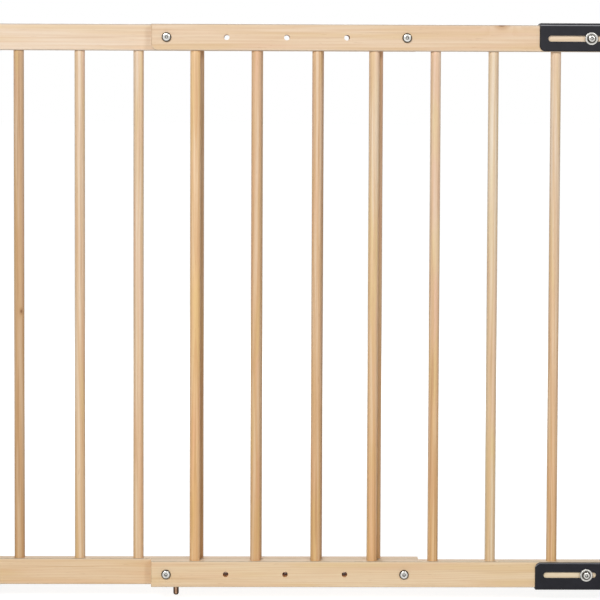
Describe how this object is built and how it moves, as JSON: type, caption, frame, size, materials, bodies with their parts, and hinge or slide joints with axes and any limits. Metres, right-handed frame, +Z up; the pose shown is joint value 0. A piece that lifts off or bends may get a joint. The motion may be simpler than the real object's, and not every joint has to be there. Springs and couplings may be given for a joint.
{
  "type": "safety baby gate",
  "caption": "Extendable wooden safety gate: dowelled panels bolted face to face, hung on wall hinges by slotted brackets and latched by slide bolts.",
  "frame": {"origin": "on the hinge wall, at the middle of the lower hinge plate's wall face", "axes": "+X at the hinge wall and along the gate, +Y away from the bolt heads, +Z up"},
  "size_m": [0.906, 0.0597, 0.745],
  "materials": {
    "pine": "clear satin lacquer",
    "black_plastic": "satin moulded",
    "zinc_steel": "bright zinc plate",
    "peg_metal": "bronzed"
  },
  "bodies": {
    "hinge_plates": {"upper_hinge_plate": "black_plastic", "lower_hinge_plate": "black_plastic", "upper_hinge_pin": "zinc_steel", "lower_hinge_pin": "zinc_steel"},
    "hinge_brackets": {"upper_slot_bracket": "black_plastic", "lower_slot_bracket": "black_plastic"},
    "gate": {"front_top_rail": "pine", "front_bottom_rail": "pine", "rear_top_rail": "pine", "rear_bottom_rail": "pine", "front_dowel_1": "pine", "front_dowel_2": "pine", "front_dowel_3": "pine", "front_dowel_4": "pine", "front_dowel_5": "pine", "front_dowel_6": "pine", "front_dowel_7": "pine", "rear_dowel_1": "pine", "rear_dowel_2": "pine", "rear_dowel_3": "pine", "rear_dowel_4": "pine", "rear_dowel_5": "pine", "rear_dowel_6": "pine", "rear_dowel_7": "pine", "connector_bolts": "zinc_steel", "connector_washers": "zinc_steel", "connector_nuts": "zinc_steel", "clamp_screws": "zinc_steel", "clamp_front_washers": "zinc_steel", "clamp_back_washers": "zinc_steel", "clamp_nuts": "zinc_steel", "latch_case_screws": "zinc_steel", "latch_case_nuts": "zinc_steel", "underside_peg": "peg_metal", "upper_latch_case": "black_plastic", "lower_latch_case": "black_plastic"},
    "upper_latch": {"upper_latch_bolt": "zinc_steel", "upper_latch_knob": "black_plastic"},
    "lower_latch": {"lower_latch_bolt": "zinc_steel", "lower_latch_knob": "black_plastic"},
    "strikes": {"upper_strike": "black_plastic", "lower_strike": "black_plastic"}
  },
  "joints": [
    {"name": "gate_swing", "type": "hinge", "parent": "hinge_plates", "child": "hinge_brackets", "pos_m": [-0.023, 0, 0], "axis": [0, 0, 1], "range_deg": [-90, 90]},
    {"name": "width_slide", "type": "slide", "parent": "hinge_brackets", "child": "gate", "axis": [-1, 0, 0], "range_m": [-0.0075, 0.05]},
    {"name": "upper_latch_slide", "type": "slide", "parent": "gate", "child": "upper_latch", "axis": [-1, 0, 0], "range_m": [0, 0.016]},
    {"name": "lower_latch_slide", "type": "slide", "parent": "gate", "child": "lower_latch", "axis": [-1, 0, 0], "range_m": [0, 0.016]},
    {"name": "strike_shift", "type": "slide", "parent": "hinge_plates", "child": "strikes", "axis": [-1, 0, 0], "range_m": [-0.0075, 0.05]}
  ],
  "couplings": [
    {"joint": "strike_shift", "follows": "width_slide", "ratio": 1}
  ]
}
